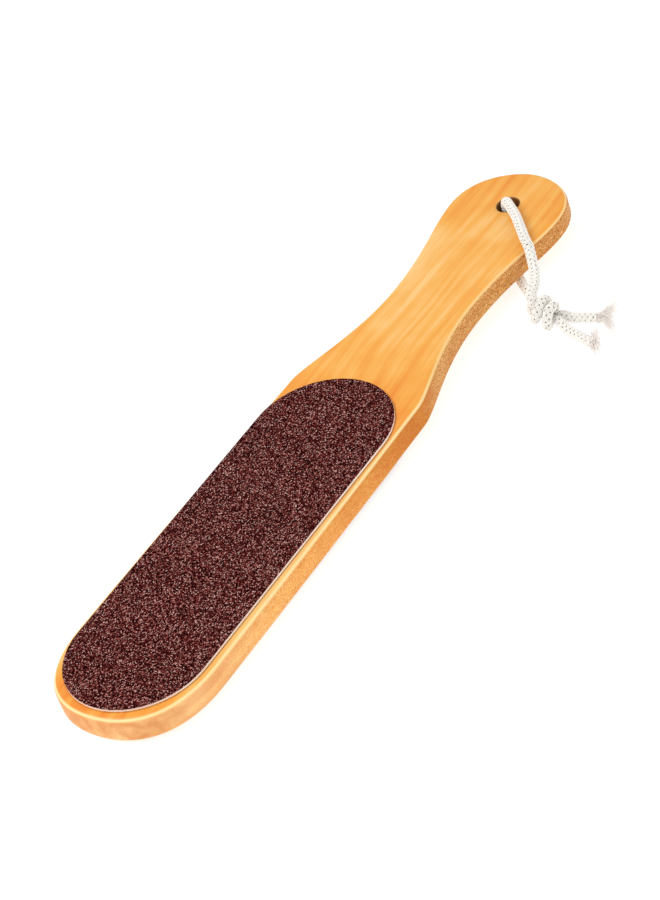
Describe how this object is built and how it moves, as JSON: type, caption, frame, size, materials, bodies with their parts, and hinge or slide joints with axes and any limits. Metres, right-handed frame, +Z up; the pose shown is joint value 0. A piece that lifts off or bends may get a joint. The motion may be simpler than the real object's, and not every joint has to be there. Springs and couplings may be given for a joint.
{
  "type": "foot_scrubber",
  "caption": "Two-sided foot scrubber: a rounded wooden paddle with a narrow waist and bulb handle, an abrasive pad bonded to each face, and a knotted cotton hanging cord through the handle.",
  "frame": {"origin": "centre of the paddle and pads in plan, on the table the scrubber lies on", "axes": "+X from the blade's nose to the handle's end, +Y across the paddle to its left, +Z up off the table"},
  "size_m": [0.25, 0.0801, 0.0152],
  "materials": {
    "lacquered_wood": "clear satin lacquer over warm yellow-orange softwood",
    "front_adhesive_film": "thin contact adhesive film",
    "front_backing": "pale foam backing sheet, cut edge showing",
    "front_grit_sheet": "coarse dark brown abrasive grit",
    "rear_adhesive_film": "thin contact adhesive film",
    "rear_backing": "pale foam backing sheet, cut edge showing",
    "rear_grit_sheet": "finer dark brown abrasive grit",
    "braided_cotton": "unbleached braided cotton cord"
  },
  "bodies": {
    "root": {"paddle": "lacquered_wood", "front_adhesive_film": "front_adhesive_film", "front_backing": "front_backing", "front_grit_sheet": "front_grit_sheet", "rear_adhesive_film": "rear_adhesive_film", "rear_backing": "rear_backing", "rear_grit_sheet": "rear_grit_sheet", "cord_front_run": "braided_cotton", "cord_knot_core": "braided_cotton", "cord_front_tail": "braided_cotton", "cord_rear_run": "braided_cotton", "cord_knot_wrap": "braided_cotton", "cord_rear_tail": "braided_cotton"}
  },
  "joints": []
}
